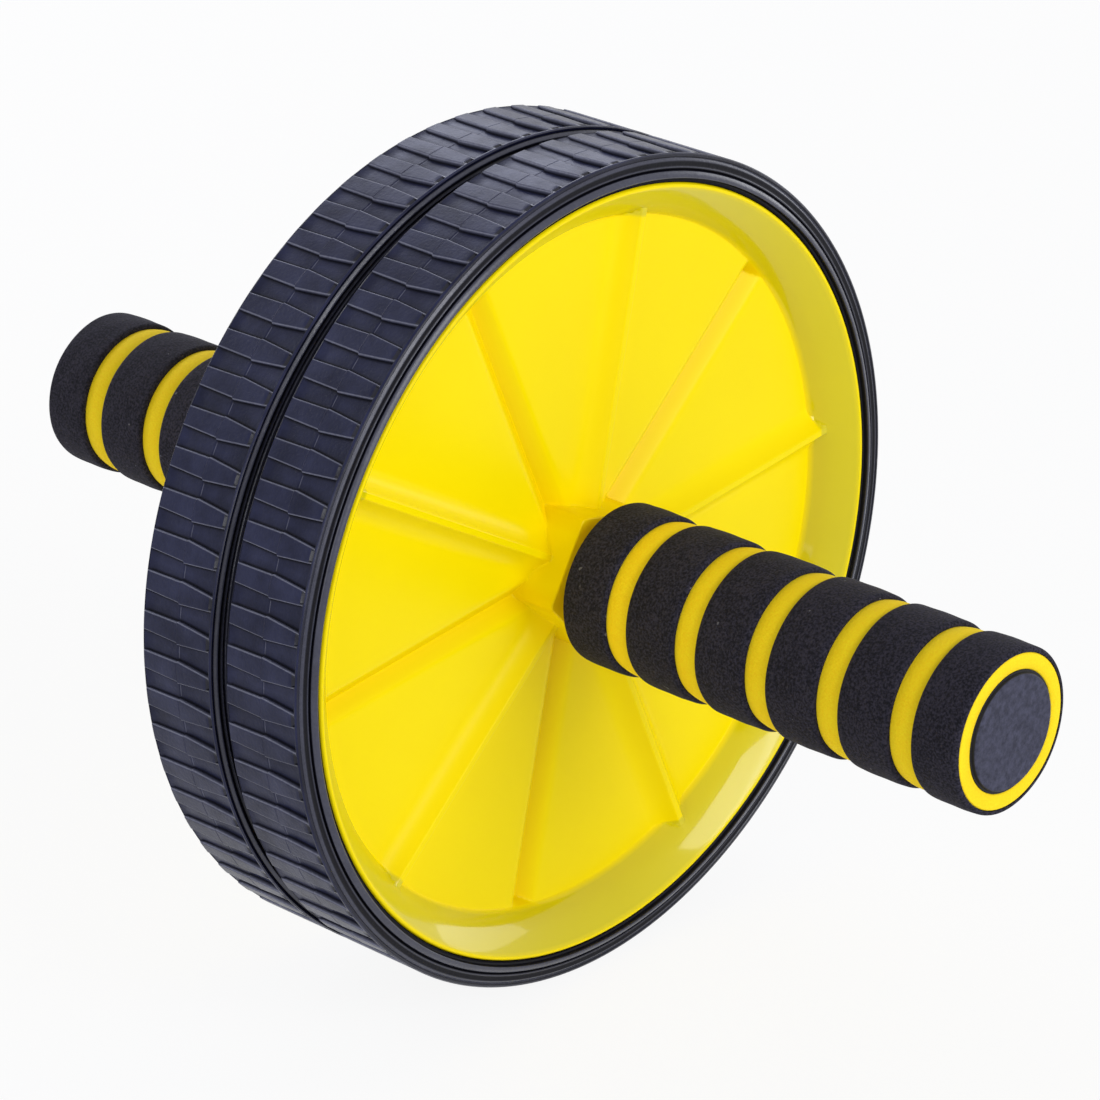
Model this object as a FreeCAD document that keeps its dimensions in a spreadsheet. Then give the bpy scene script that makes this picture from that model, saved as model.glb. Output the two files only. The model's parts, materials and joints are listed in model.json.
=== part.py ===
import FreeCAD, Part
import math
import os
import Sketcher

# An ab wheel roller: two tyred wheels that turn side by side on a steel rod, with a foam grip at each end.
# Each sub-part is drawn along its own Z, which points from the middle of the rod towards one handle.
# It is then laid along the Y axis of the roller: the right side lies on -Y and the left side on +Y.

# Driving sizes, in millimetres and degrees
SIZES = {
    # tyre, from the rim outwards and from the middle of the roller outwards
    "rim_radius": 84,
    "bead_width": 2.4,
    "bead_proud": 0.6,
    "crease_width": 0.6,
    "crease_depth": 0.6,
    "side_width": 1.4,
    "shoulder_drop": 1.6,
    "tyre_gap": 1.8,
    "tread_width": 20,
    "shoulder_run": 0.8,
    "side_rise": 1.1,
    "side_step": 0.6,
    "tyre_edge_round": 1.2,
    "tread_count": 66,
    "tread_cut_depth": 0.5,
    "tread_cut_width": 5,
    "tread_cut_waist": 3.4,
    "tread_cut_flare": 4.8,
    "tread_sway": 0.4,
    "tread_lean": 0.9,
    # wheel disc
    "rim_inset": 0.6,
    "rim_land": 0.6,
    "rim_wall": 3.5,
    "dish_depth": 8.8,
    "dish_run": 7.9,
    "web_rise": 0.2,
    "web_thickness": 5.5,
    "rib_count": 5,
    "ridge_width": 8.4,
    "ridge_height": 3.8,
    "ridge_root": 1.5,
    "groove_width": 6.6,
    "groove_depth": 3,
    "boss_clear": 4.4,
    "hub_apothem": 13.5,
    "hub_wall": 2.9,
    "ridge_phase": 5.5,
    # rod, bushes, spacer and washers
    "axle_radius": 6,
    "axle_chamfer": 0.5,
    "axle_end_gap": 0.5,
    "tapped_radius": 3.05,
    "tapped_depth": 20,
    "run_clearance": 0.05,
    "fit_clearance": 0.05,
    "end_float": 0.3,
    "bush_wall": 2,
    "bush_length": 7,
    "bush_flange": 1.2,
    "bush_flange_rim": 2.8,
    "spacer_length": 3,
    "spacer_wall": 4,
    "thrust_thickness": 1.2,
    # handle
    "core_radius": 12.7,
    "core_reveal": 0.8,
    "counterbore_radius": 9.5,
    "counterbore_depth": 16,
    "liner_thickness": 3.45,
    "band_thickness": 1.25,
    "band_round": 0.9,
    "band_count": 6,
    "band_width": 12.8,
    "end_band_width": 11.4,
    "band_gap": 5.65,
    # bolt, its washer and the end cap
    "bolt_shank_radius": 3,
    "bolt_shank_length": 18,
    "bolt_head_radius": 5,
    "bolt_head_height": 5,
    "bolt_key_width": 5,
    "bolt_key_depth": 2.5,
    "washer_thickness": 1.5,
    "washer_clearance": 0.3,
    "cap_head": 1.2,
    "cap_proud": 0.6,
    "cap_round": 0.5,
    "plug_length": 6,
    "plug_wall": 1.5,
}


# Places and radii that follow from the driving sizes
PLACES = {
    # tyre
    "tyre_inner_face": "=sizes.tyre_gap / 2",
    "tyre_edge_start": "=tyre_inner_face + sizes.tyre_edge_round",
    "bead_radius": "=sizes.rim_radius + sizes.bead_width",
    "crease_radius": "=bead_radius + sizes.crease_width",
    "shoulder_radius": "=crease_radius + sizes.side_width",
    "tyre_radius": "=shoulder_radius + sizes.shoulder_drop",
    "tyre_edge_radius": "=tyre_radius - sizes.tyre_edge_round",
    "tread_edge": "=tyre_inner_face + sizes.tread_width",
    "shoulder_face": "=tread_edge + sizes.shoulder_run",
    "side_face": "=shoulder_face + sizes.side_rise",
    "crease_face": "=side_face - sizes.crease_depth",
    "rim_edge": "=side_face + sizes.side_step",
    "bead_round": "=(sizes.bead_width ^ 2 / 4 + sizes.bead_proud ^ 2) / (2 * sizes.bead_proud)",
    "cut_floor_radius": "=tyre_radius - sizes.tread_cut_depth",
    "cut_reach": "=sizes.tread_cut_depth + sizes.tyre_edge_round",
    "cut_half": "=sizes.tread_cut_width / 2",
    "waist_ahead": "=sizes.tread_cut_waist / 2 - sizes.tread_sway",
    "waist_back": "=sizes.tread_cut_waist / 2 + sizes.tread_sway",
    "flare_ahead": "=sizes.tread_cut_flare / 2 - sizes.tread_lean",
    "flare_back": "=sizes.tread_cut_flare / 2 + sizes.tread_lean",
    "cut_start": "=tyre_inner_face - sizes.tyre_edge_round",
    "cut_middle": "=tyre_inner_face + sizes.tread_width / 2",
    "cut_end": "=side_face",
    # wheel disc
    "disc_radius": "=sizes.rim_radius - sizes.fit_clearance",
    "land_radius": "=disc_radius - sizes.rim_land",
    "floor_radius": "=land_radius - sizes.dish_run",
    "rim_inside_radius": "=disc_radius - sizes.rim_wall",
    "rim_inner_end": "=tyre_inner_face + sizes.rim_inset",
    "floor_face": "=rim_edge - sizes.dish_depth",
    "floor_back": "=floor_face - sizes.web_thickness",
    "web_top": "=floor_face + sizes.web_rise",
    "web_back": "=web_top - sizes.web_thickness",
    "hub_outer_end": "=web_top + sizes.ridge_height + sizes.boss_clear",
    "hub_inner_end": "=sizes.spacer_length / 2 + sizes.end_float + sizes.bush_flange",
    "bush_bore": "=sizes.axle_radius + sizes.run_clearance",
    "bush_radius": "=bush_bore + sizes.bush_wall",
    "hub_bore": "=bush_radius + sizes.fit_clearance",
    "hub_radius": "=hub_bore + sizes.hub_wall",
    "hub_corner_radius": "=sizes.hub_apothem / cos(180deg / sizes.rib_count)",
    "boss_height": "=hub_outer_end - web_back",
    "web_slope": "=atan(sizes.web_rise / (floor_radius - hub_radius))",
    "ridge_half": "=sizes.ridge_width / 2",
    "ridge_end": "=floor_radius + sizes.ridge_height * sizes.dish_run / sizes.dish_depth + sizes.rim_land",
    "ridge_length": "=(ridge_end - hub_radius) / cos(web_slope)",
    "groove_turn": "=180deg / sizes.rib_count",
    "groove_half": "=sizes.groove_width / 2",
    "groove_start": "=hub_corner_radius + sizes.rim_land",
    "groove_start_face": "=web_top - (groove_start - hub_radius) * tan(web_slope)",
    "groove_length": "=(floor_radius - groove_start) / cos(web_slope)",
    "groove_top": "=sizes.groove_depth / 2",
    "groove_top_half": "=groove_half * 3 / 2",
    # rod, bushes, spacer and washers
    "bush_flange_radius": "=bush_radius + sizes.bush_flange_rim",
    "inner_flange_face": "=hub_inner_end - sizes.bush_flange",
    "inner_bush_end": "=hub_inner_end + sizes.bush_length",
    "outer_flange_face": "=hub_outer_end + sizes.bush_flange",
    "outer_bush_start": "=hub_outer_end - sizes.bush_length",
    "fixed_bore": "=sizes.axle_radius + sizes.fit_clearance",
    "spacer_half": "=sizes.spacer_length / 2",
    "spacer_radius": "=fixed_bore + sizes.spacer_wall",
    "thrust_start": "=outer_flange_face + sizes.end_float",
    "core_start": "=thrust_start + sizes.thrust_thickness",
    "axle_end": "=counterbore_face - sizes.axle_end_gap",
    "axle_chamfer_end": "=axle_end - sizes.axle_chamfer",
    "axle_chamfer_radius": "=sizes.axle_radius - sizes.axle_chamfer",
    "tapped_end": "=axle_end - sizes.tapped_depth",
    # handle
    "grip_start": "=core_start + sizes.core_reveal",
    "grip_end": "=grip_start + 2 * sizes.end_band_width + (sizes.band_count - 2) * sizes.band_width"
                " + (sizes.band_count - 1) * sizes.band_gap",
    "cap_face": "=grip_end + sizes.cap_proud",
    "core_end": "=cap_face - sizes.cap_head",
    "counterbore_face": "=core_end - sizes.counterbore_depth",
    "liner_bore": "=sizes.core_radius + sizes.fit_clearance",
    "liner_radius": "=liner_bore + sizes.liner_thickness",
    "band_bore": "=liner_radius + sizes.fit_clearance",
    "band_radius": "=band_bore + sizes.band_thickness",
    "band_round_radius": "=band_radius - sizes.band_round",
    "band_width_shoulder": "=sizes.band_width - sizes.band_round",
    "end_band_width_shoulder": "=sizes.end_band_width - sizes.band_round",
    # bolt, its washer and the end cap
    "washer_face": "=counterbore_face + sizes.washer_thickness",
    "washer_bore": "=sizes.bolt_shank_radius + sizes.washer_clearance",
    "washer_radius": "=sizes.counterbore_radius - sizes.washer_clearance",
    "bolt_tip": "=washer_face - sizes.bolt_shank_length",
    "bolt_top": "=washer_face + sizes.bolt_head_height",
    "key_corner_radius": "=sizes.bolt_key_width / 2 / cos(30deg)",
    "plug_radius": "=sizes.counterbore_radius - sizes.fit_clearance",
    "plug_bore": "=plug_radius - sizes.plug_wall",
    "plug_start": "=core_end - sizes.plug_length",
    "cap_round_radius": "=sizes.core_radius - sizes.cap_round",
    "cap_round_start": "=cap_face - sizes.cap_round",
}

doc = FreeCAD.newDocument("ab_wheel_roller")
nodes = []


def fill_sheet(name, cells):
    sheet = doc.addObject("Spreadsheet::Sheet", name)
    for row, alias in enumerate(cells, start=1):
        sheet.set("A%d" % row, alias)
        sheet.setAlias("B%d" % row, alias)
    for row, content in enumerate(cells.values(), start=1):
        sheet.set("B%d" % row, str(content))
    doc.recompute()
    return sheet


sizes = fill_sheet("sizes", SIZES)
places = fill_sheet("places", PLACES)


def cell(name):
    # the cell that a name stands for, as an expression; a leading minus sign is kept
    alias = name.lstrip("-")
    sheet = "places" if alias in PLACES else "sizes"
    return name.replace(alias, "%s.%s" % (sheet, alias))


def value(name):
    alias = name.lstrip("-")
    content = getattr(places if alias in PLACES else sizes, alias)
    number = float(getattr(content, "Value", content))
    return -number if name.startswith("-") else number


def side_placement(side):
    # the drawing's Z goes to -Y on the right side and to +Y on the left, and its X stays on X
    turn = -90 if side == "left" else 90
    return FreeCAD.Placement(FreeCAD.Vector(), FreeCAD.Rotation(FreeCAD.Vector(1, 0, 0), turn))


def new_body(label, side):
    body = doc.addObject("PartDesign::Body", label)
    body.Label = label
    body.Placement = side_placement(side)
    nodes.append(body)
    return body


def origin_feature(body, role):
    return next(feature for feature in body.Origin.OriginFeatures if feature.Role == role)


def new_sketch(body, name, support):
    sketch = body.newObject("Sketcher::SketchObject", name)
    sketch.AttachmentSupport = [(support, "")]
    sketch.MapMode = "FlatFace"
    return sketch


def offset_sketch(sketch, up=None, out=None, tilt=None):
    # shifts a sketch along its own Y and its normal, and tilts it about its own X
    base = FreeCAD.Vector(0, value(up) if up else 0, value(out) if out else 0)
    angle = value(tilt) if tilt else 0
    sketch.AttachmentOffset = FreeCAD.Placement(base, FreeCAD.Rotation(FreeCAD.Vector(1, 0, 0), angle))
    for path, name in (("Base.y", up), ("Base.z", out), ("Rotation.Angle", tilt)):
        if name:
            sketch.setExpression("AttachmentOffset." + path, cell(name))


def bind(sketch, constraint, name):
    index = sketch.addConstraint(constraint)
    sketch.setExpression("Constraints[%d]" % index, cell(name))


def draw_outline(sketch, corners):
    # Closed outline through corners (x, y), counterclockwise; None puts a coordinate on the axis.
    # A third name in a corner is the radius of an outward arc from there to the next corner.
    points = [FreeCAD.Vector(*(value(name) if name else 0 for name in corner[:2]), 0) for corner in corners]
    last = len(corners) - 1
    for index, corner in enumerate(corners):
        start = points[index]
        end = points[0 if index == last else index + 1]
        if len(corner) == 3:
            radius = value(corner[2])
            chord = end - start
            outward = FreeCAD.Vector(chord.y, -chord.x, 0).normalize()
            rise = radius - math.sqrt(radius ** 2 - (chord.Length / 2) ** 2)
            sketch.addGeometry(Part.ArcOfCircle(start, (start + end) * 0.5 + outward * rise, end))
            bind(sketch, Sketcher.Constraint("Radius", index, radius), corner[2])
        else:
            sketch.addGeometry(Part.LineSegment(start, end))
    for index, corner in enumerate(corners):
        sketch.addConstraint(Sketcher.Constraint("Coincident", index, 2, 0 if index == last else index + 1, 1))
        for kind, name, axis in (("DistanceX", corner[0], -2), ("DistanceY", corner[1], -1)):
            if name:
                bind(sketch, Sketcher.Constraint(kind, -1, 1, index, 1, value(name)), name)
            else:
                sketch.addConstraint(Sketcher.Constraint("PointOnObject", index, 1, axis))


def draw_polygon(sketch, count, radius):
    # regular polygon round the origin whose first side stands upright on the X axis
    size = value(radius)
    step = 2 * math.pi / count
    turns = [(corner - 0.5) * step for corner in range(count)]
    points = [FreeCAD.Vector(size * math.cos(turn), size * math.sin(turn), 0) for turn in turns]
    for index in range(count):
        sketch.addGeometry(Part.LineSegment(points[index], points[(index + 1) % count]))
    ring = sketch.addGeometry(Part.Circle(FreeCAD.Vector(), FreeCAD.Vector(0, 0, 1), size), True)
    sketch.addConstraint(Sketcher.Constraint("Coincident", ring, 3, -1, 1))
    bind(sketch, Sketcher.Constraint("Radius", ring, size), radius)
    for index in range(count):
        sketch.addConstraint(Sketcher.Constraint("Coincident", index, 2, (index + 1) % count, 1))
        sketch.addConstraint(Sketcher.Constraint("PointOnObject", index, 1, ring))
        if index:
            sketch.addConstraint(Sketcher.Constraint("Equal", 0, index))
    sketch.addConstraint(Sketcher.Constraint("Vertical", 0))


def turn_profile(body, corners):
    # solid of revolution about the body's Z; corners are (radius, distance along Z)
    sketch = new_sketch(body, body.Label + "_profile", origin_feature(body, "XZ_Plane"))
    draw_outline(sketch, corners)
    turned = body.newObject("PartDesign::Revolution", body.Label + "_turned")
    turned.Profile = sketch
    turned.ReferenceAxis = (sketch, ["V_Axis"])
    turned.Angle = 360
    doc.recompute()
    return turned


def turned_part(label, side, corners):
    body = new_body(label, side)
    turn_profile(body, corners)
    return body


def add_prism(body, kind, name, sketch, length, reverse=False):
    # kind is Pad or Pocket; the length is a cell
    prism = body.newObject("PartDesign::" + kind, name)
    prism.Profile = sketch
    prism.setExpression("Length", cell(length))
    prism.Reversed = reverse
    doc.recompute()
    return prism


def repeat_round(body, feature, count):
    pattern = body.newObject("PartDesign::PolarPattern", feature.Name + "_ring")
    pattern.Originals = [feature]
    pattern.Axis = (origin_feature(body, "Z_Axis"), [""])
    pattern.Angle = 360
    pattern.setExpression("Occurrences", cell(count))
    body.Tip = pattern
    doc.recompute()
    return pattern


def check_cut(before, body):
    if not body.Shape.Volume < before - 1e-3:
        raise RuntimeError("a cut took nothing away from " + body.Label)


def ring(label, side, bore, radius, start, end):
    return turned_part(label, side, [(bore, start), (radius, start), (radius, end), (bore, end)])


def make_tyre(side):
    body = turned_part(side + "_tyre", side, [
        ("rim_radius", "tyre_inner_face"),
        ("tyre_edge_radius", "tyre_inner_face", "tyre_edge_round"),
        ("tyre_radius", "tyre_edge_start"),
        ("tyre_radius", "tread_edge"),
        ("shoulder_radius", "shoulder_face"),
        ("crease_radius", "side_face"),
        ("crease_radius", "crease_face"),
        ("bead_radius", "crease_face"),
        ("bead_radius", "rim_edge", "bead_round"),
        ("rim_radius", "rim_edge"),
    ])
    solid = body.Shape.Volume
    # one low panel across the tread, drawn in at the middle and flared and shifted back at its -Y end
    full, waist, flare = ("-cut_half", "cut_half"), ("-waist_back", "waist_ahead"), ("-flare_back", "flare_ahead")
    if side == "left":
        full, waist, flare = ("-flare_ahead", "flare_back"), ("-waist_ahead", "waist_back"), full
    sketch = new_sketch(body, side + "_tread_cut_shape", origin_feature(body, "YZ_Plane"))
    offset_sketch(sketch, out="cut_floor_radius")
    draw_outline(sketch, [
        (full[0], "cut_start"),
        (full[1], "cut_start"),
        (waist[1], "cut_middle"),
        (flare[1], "cut_end"),
        (flare[0], "cut_end"),
        (waist[0], "cut_middle"),
    ])
    cut = add_prism(body, "Pocket", side + "_tread_cut", sketch, "cut_reach", reverse=True)
    repeat_round(body, cut, "tread_count")
    check_cut(solid, body)


def make_disc(side):
    body = new_body(side + "_wheel_disc", side)
    phase = FreeCAD.Rotation(FreeCAD.Vector(0, 0, 1), value("ridge_phase"))
    body.Placement = side_placement(side) * FreeCAD.Placement(FreeCAD.Vector(), phase)
    turn_profile(body, [
        ("hub_bore", "hub_inner_end"),
        ("hub_radius", "hub_inner_end"),
        ("hub_radius", "web_back"),
        ("rim_inside_radius", "floor_back"),
        ("rim_inside_radius", "rim_inner_end"),
        ("disc_radius", "rim_inner_end"),
        ("disc_radius", "rim_edge"),
        ("land_radius", "rim_edge"),
        ("floor_radius", "floor_face"),
        ("hub_radius", "web_top"),
        ("hub_radius", "hub_outer_end"),
        ("hub_bore", "hub_outer_end"),
    ])
    # five-sided boss round the hub, with a flat side square to each rib
    boss = new_sketch(body, side + "_boss_shape", origin_feature(body, "XY_Plane"))
    offset_sketch(boss, out="web_back")
    draw_polygon(boss, int(value("rib_count")), "hub_corner_radius")
    bore = boss.addGeometry(Part.Circle(FreeCAD.Vector(), FreeCAD.Vector(0, 0, 1), value("hub_bore")))
    boss.addConstraint(Sketcher.Constraint("Coincident", bore, 3, -1, 1))
    bind(boss, Sketcher.Constraint("Radius", bore, value("hub_bore")), "hub_bore")
    add_prism(body, "Pad", side + "_boss", boss, "boss_height")
    # rib of triangular section, from the hub down the web and into the wall of the dish
    ridge = new_sketch(body, side + "_rib_shape", origin_feature(body, "YZ_Plane"))
    offset_sketch(ridge, up="web_top", out="hub_radius", tilt="web_slope")
    draw_outline(ridge, [
        ("-ridge_half", "-ridge_root"),
        ("ridge_half", "-ridge_root"),
        ("ridge_half", None),
        (None, "ridge_height"),
        ("-ridge_half", None),
    ])
    repeat_round(body, add_prism(body, "Pad", side + "_rib", ridge, "ridge_length"), "rib_count")
    solid = body.Shape.Volume
    # V groove halfway between two ribs, from the boss to the foot of the dish wall
    plane = body.newObject("PartDesign::Plane", side + "_groove_plane")
    plane.AttachmentSupport = [(origin_feature(body, "YZ_Plane"), "")]
    plane.MapMode = "FlatFace"
    turn = FreeCAD.Rotation(FreeCAD.Vector(0, 1, 0), value("groove_turn"))
    plane.AttachmentOffset = FreeCAD.Placement(FreeCAD.Vector(), turn)
    plane.setExpression("AttachmentOffset.Rotation.Angle", cell("groove_turn"))
    doc.recompute()
    groove = new_sketch(body, side + "_groove_shape", plane)
    offset_sketch(groove, up="groove_start_face", out="groove_start", tilt="web_slope")
    draw_outline(groove, [
        (None, "-groove_depth"),
        ("groove_top_half", "groove_top"),
        ("-groove_top_half", "groove_top"),
    ])
    cut = add_prism(body, "Pocket", side + "_groove", groove, "groove_length", reverse=True)
    repeat_round(body, cut, "rib_count")
    check_cut(solid, body)


def make_bushes(side):
    turned_part(side + "_inner_bush", side, [
        ("bush_bore", "inner_flange_face"),
        ("bush_flange_radius", "inner_flange_face"),
        ("bush_flange_radius", "hub_inner_end"),
        ("bush_radius", "hub_inner_end"),
        ("bush_radius", "inner_bush_end"),
        ("bush_bore", "inner_bush_end"),
    ])
    turned_part(side + "_outer_bush", side, [
        ("bush_bore", "outer_bush_start"),
        ("bush_radius", "outer_bush_start"),
        ("bush_radius", "hub_outer_end"),
        ("bush_flange_radius", "hub_outer_end"),
        ("bush_flange_radius", "outer_flange_face"),
        ("bush_bore", "outer_flange_face"),
    ])


def make_axle():
    turned_part("axle_rod", "right", [
        ("tapped_radius", "-axle_end"),
        ("axle_chamfer_radius", "-axle_end"),
        ("axle_radius", "-axle_chamfer_end"),
        ("axle_radius", "axle_chamfer_end"),
        ("axle_chamfer_radius", "axle_end"),
        ("tapped_radius", "axle_end"),
        ("tapped_radius", "tapped_end"),
        (None, "tapped_end"),
        (None, "-tapped_end"),
        ("tapped_radius", "-tapped_end"),
    ])
    ring("centre_spacer", "right", "fixed_bore", "spacer_radius", "-spacer_half", "spacer_half")


def make_core(side):
    ring(side + "_thrust_washer", side, "fixed_bore", "bush_flange_radius", "thrust_start", "core_start")
    turned_part(side + "_handle_core", side, [
        ("fixed_bore", "core_start"),
        ("core_radius", "core_start"),
        ("core_radius", "core_end"),
        ("counterbore_radius", "core_end"),
        ("counterbore_radius", "counterbore_face"),
        ("fixed_bore", "counterbore_face"),
    ])


def make_grip(side):
    ring(side + "_grip_liner", side, "liner_bore", "liner_radius", "grip_start", "grip_end")
    count = int(value("band_count"))
    for band in range(1, count + 1):
        make_band(side, band, count)


def make_band(side, band, count):
    # each band is drawn from Z = 0 and moved out along the handle to its place on the liner
    width = "end_band_width" if band in (1, count) else "band_width"
    body = new_body("%s_grip_band_%d" % (side, band), side)
    start = value("grip_start")
    if band > 1:
        start += value("end_band_width") + (band - 2) * value("band_width") + (band - 1) * value("band_gap")
    body.Placement = side_placement(side) * FreeCAD.Placement(FreeCAD.Vector(0, 0, start), FreeCAD.Rotation())
    turn_profile(body, [
        ("band_bore", None),
        ("band_round_radius", None, "band_round"),
        ("band_radius", "band_round"),
        ("band_radius", width + "_shoulder", "band_round"),
        ("band_round_radius", width),
        ("band_bore", width),
    ])


def make_fasteners(side):
    ring(side + "_handle_washer", side, "washer_bore", "washer_radius", "counterbore_face", "washer_face")
    body = turned_part(side + "_handle_bolt", side, [
        (None, "bolt_tip"),
        ("bolt_shank_radius", "bolt_tip"),
        ("bolt_shank_radius", "washer_face"),
        ("bolt_head_radius", "washer_face"),
        ("bolt_head_radius", "bolt_top"),
        (None, "bolt_top"),
    ])
    solid = body.Shape.Volume
    socket = new_sketch(body, side + "_socket_shape", origin_feature(body, "XY_Plane"))
    offset_sketch(socket, out="bolt_top")
    draw_polygon(socket, 6, "key_corner_radius")
    add_prism(body, "Pocket", side + "_socket", socket, "bolt_key_depth")
    check_cut(solid, body)


def make_cap(side):
    turned_part(side + "_end_cap", side, [
        ("plug_bore", "plug_start"),
        ("plug_radius", "plug_start"),
        ("plug_radius", "core_end"),
        ("core_radius", "core_end"),
        ("core_radius", "cap_round_start", "cap_round"),
        ("cap_round_radius", "cap_face"),
        (None, "cap_face"),
        (None, "core_end"),
        ("plug_bore", "core_end"),
    ])


make_axle()
for side in ("right", "left"):
    make_disc(side)
    make_tyre(side)
    make_bushes(side)
    make_core(side)
    make_grip(side)
    make_fasteners(side)
    make_cap(side)
doc.recompute()

for thing in doc.Objects:
    if "Invalid" in thing.State or "Error" in thing.State:
        raise RuntimeError(thing.Label + " did not compute")
for body in nodes:
    if body.Shape.isNull() or not body.Shape.isValid() or len(body.Shape.Solids) != 1:
        raise RuntimeError(body.Label + " is not one valid solid")

os.makedirs("parts", exist_ok=True)
for body in nodes:
    body.Shape.exportStep("parts/%s.step" % body.Label)
    print("%-22s %10.1f mm3" % (body.Label, body.Shape.Volume))
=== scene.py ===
import json
import math

import bmesh
import bpy
import numpy as np
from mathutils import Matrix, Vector


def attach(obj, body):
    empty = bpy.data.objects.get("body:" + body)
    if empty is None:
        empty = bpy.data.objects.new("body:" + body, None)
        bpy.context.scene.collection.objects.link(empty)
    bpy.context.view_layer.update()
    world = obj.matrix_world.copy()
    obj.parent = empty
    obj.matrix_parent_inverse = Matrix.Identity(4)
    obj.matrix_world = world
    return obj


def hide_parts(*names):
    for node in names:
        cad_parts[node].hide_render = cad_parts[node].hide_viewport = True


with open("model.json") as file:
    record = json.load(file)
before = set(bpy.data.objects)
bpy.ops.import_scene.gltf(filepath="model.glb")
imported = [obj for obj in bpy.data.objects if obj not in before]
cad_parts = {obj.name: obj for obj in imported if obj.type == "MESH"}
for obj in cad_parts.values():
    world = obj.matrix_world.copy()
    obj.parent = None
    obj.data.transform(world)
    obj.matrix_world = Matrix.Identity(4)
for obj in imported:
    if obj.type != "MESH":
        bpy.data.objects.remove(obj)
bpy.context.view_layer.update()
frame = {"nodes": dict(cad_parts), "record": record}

mm = 0.001
sides = {"right": 1, "left": -1}
print("frame loaded:", len(frame["nodes"]), "nodes")


class Wire:
    # a socket of a material; sums, products and comparisons of wires add Math nodes
    def __init__(self, tree, socket):
        self.tree = tree
        self.socket = socket

    def add(self, kind, settings=None, inputs=None, out=0):
        # any node: its settings are set first, then its sockets get numbers, colours or links
        node = self.tree.nodes.new("ShaderNode" + kind)
        for name, setting in (settings or {}).items():
            setattr(node, name, setting)
        for name, value in (inputs or {}).items():
            if isinstance(value, Wire):
                self.tree.links.new(value.socket, node.inputs[name])
            else:
                node.inputs[name].default_value = value
        return Wire(self.tree, node.outputs[out])

    def other(self, name):
        return Wire(self.tree, self.socket.node.outputs[name])

    def maths(self, operation, first, second, clamp=False):
        return self.add("Math", {"operation": operation, "use_clamp": clamp}, {0: first, 1: second})

    def __add__(self, other):
        return self.maths("ADD", self, other)

    def __radd__(self, other):
        return self.maths("ADD", other, self)

    def __sub__(self, other):
        return self.maths("SUBTRACT", self, other)

    def __rsub__(self, other):
        return self.maths("SUBTRACT", other, self)

    def __mul__(self, other):
        return self.maths("MULTIPLY", self, other)

    def __rmul__(self, other):
        return self.maths("MULTIPLY", other, self)

    def __gt__(self, other):
        return self.maths("GREATER_THAN", self, other)

    def clamped(self):
        return self.maths("ADD", self, 0.0, True)

    def noise(self, scale, detail=2.0, rough=0.5):
        return self.add("TexNoise", {}, {"Vector": self, "Scale": scale, "Detail": detail, "Roughness": rough})

    def tint(self, start, end):
        # this value picks a colour between two, each of them fixed or a wire
        return self.add("Mix", {"data_type": "RGBA"}, {"Factor": self, 6: start, 7: end}, 2)

    def bump(self, strength, distance):
        return self.add("Bump", {}, {"Height": self, "Strength": strength, "Distance": distance})


def colour(red, green, blue):
    return (red, green, blue, 1.0)


def newMaterial(name, **fixed):
    # gives the object coordinates to build on and a function that links the finished values to the surface
    material = bpy.data.materials.new(name)
    material.use_nodes = True
    tree = material.node_tree
    surface = tree.nodes["Principled BSDF"]
    for socket, value in fixed.items():
        surface.inputs[socket.replace("_", " ")].default_value = value
    coords = tree.nodes.new("ShaderNodeTexCoord")

    def finish(**links):
        for socket, wire in links.items():
            tree.links.new(wire.socket, surface.inputs[socket.replace("_", " ")])
        return material

    return Wire(tree, coords.outputs["Object"]), finish


def mark(at, name):
    # a value that the piece's own mesh carries at each vertex
    return at.add("Attribute", {"attribute_name": name}, {}, "Fac")


def discYellow():
    # moulded plastic: satin panels, a polished wall round them whose colour is darkened as painted shade, grooves a
    # deeper orange as painted shade, cloudy flow marks, a faint orange peel
    at, finish = newMaterial("discYellow", Specular_IOR_Level=0.1, Coat_Roughness=0.07)
    cloud = at.noise(26.0, 3.0, 0.55)
    peel = at.noise(520.0, 2.0)
    polishAndShade = mark(at, "polishAndShade")
    base = cloud.tint(colour(0.93, 0.72, 0.0), colour(0.98, 0.79, 0.0))
    # painted shade: a deeper orange down in the grooves
    base = mark(at, "sunk").tint(base, colour(0.88, 0.63, 0.0))
    # painted shade: the polished wall's colour darkened to olive; its gloss comes from the coat below
    base = polishAndShade.tint(base, colour(0.67, 0.57, 0.0))
    rough = 0.28 + 0.08 * cloud
    return finish(Base_Color=base, Roughness=rough, Coat_Weight=0.56 * polishAndShade, Normal=peel.bump(0.03, 0.0004))


def tyreRubber():
    # satin rubber: paler edges, partly scuffs and partly painted highlight; painted shade, near black, at the feet of
    # the blocks, in creases and in the side walls' hollows; a fine moulded grain
    at, finish = newMaterial("tyreRubber", Specular_IOR_Level=0.12, Coat_Roughness=0.24)
    cloud = (at.noise(110.0, 4.0, 0.65) * 2.4 - 0.7).clamped()
    grain = at.noise(1500.0, 3.0, 0.6)
    edge = mark(at, "edge")
    paintedShade = mark(at, "paintedShade")
    smooth = mark(at, "smooth")
    base = cloud.tint(colour(0.004, 0.0055, 0.025), colour(0.012, 0.0160, 0.063))
    base = (0.7 * smooth).tint(base, colour(0.003, 0.003, 0.008))
    # paler lilac lines along block edges, slits, steps and side wall ridges: scuffs and painted highlight
    scuffAndHighlight = (edge * (0.5 + 0.9 * grain)).clamped()
    base = scuffAndHighlight.tint(base, colour(0.34, 0.35, 0.46))
    # painted shade: near black at the feet of walls, in creases and in the side walls' hollows
    base = (0.95 * paintedShade).tint(base, colour(0.002, 0.002, 0.004))
    rough = 0.30 + 0.12 * grain + 0.3 * paintedShade - 0.2 * smooth
    skin = (0.1 + 0.24 * cloud + 0.26 * smooth) * (1.0 - paintedShade)
    return finish(Base_Color=base, Roughness=rough, Coat_Weight=skin, Normal=grain.bump(0.3, 0.0003))


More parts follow.
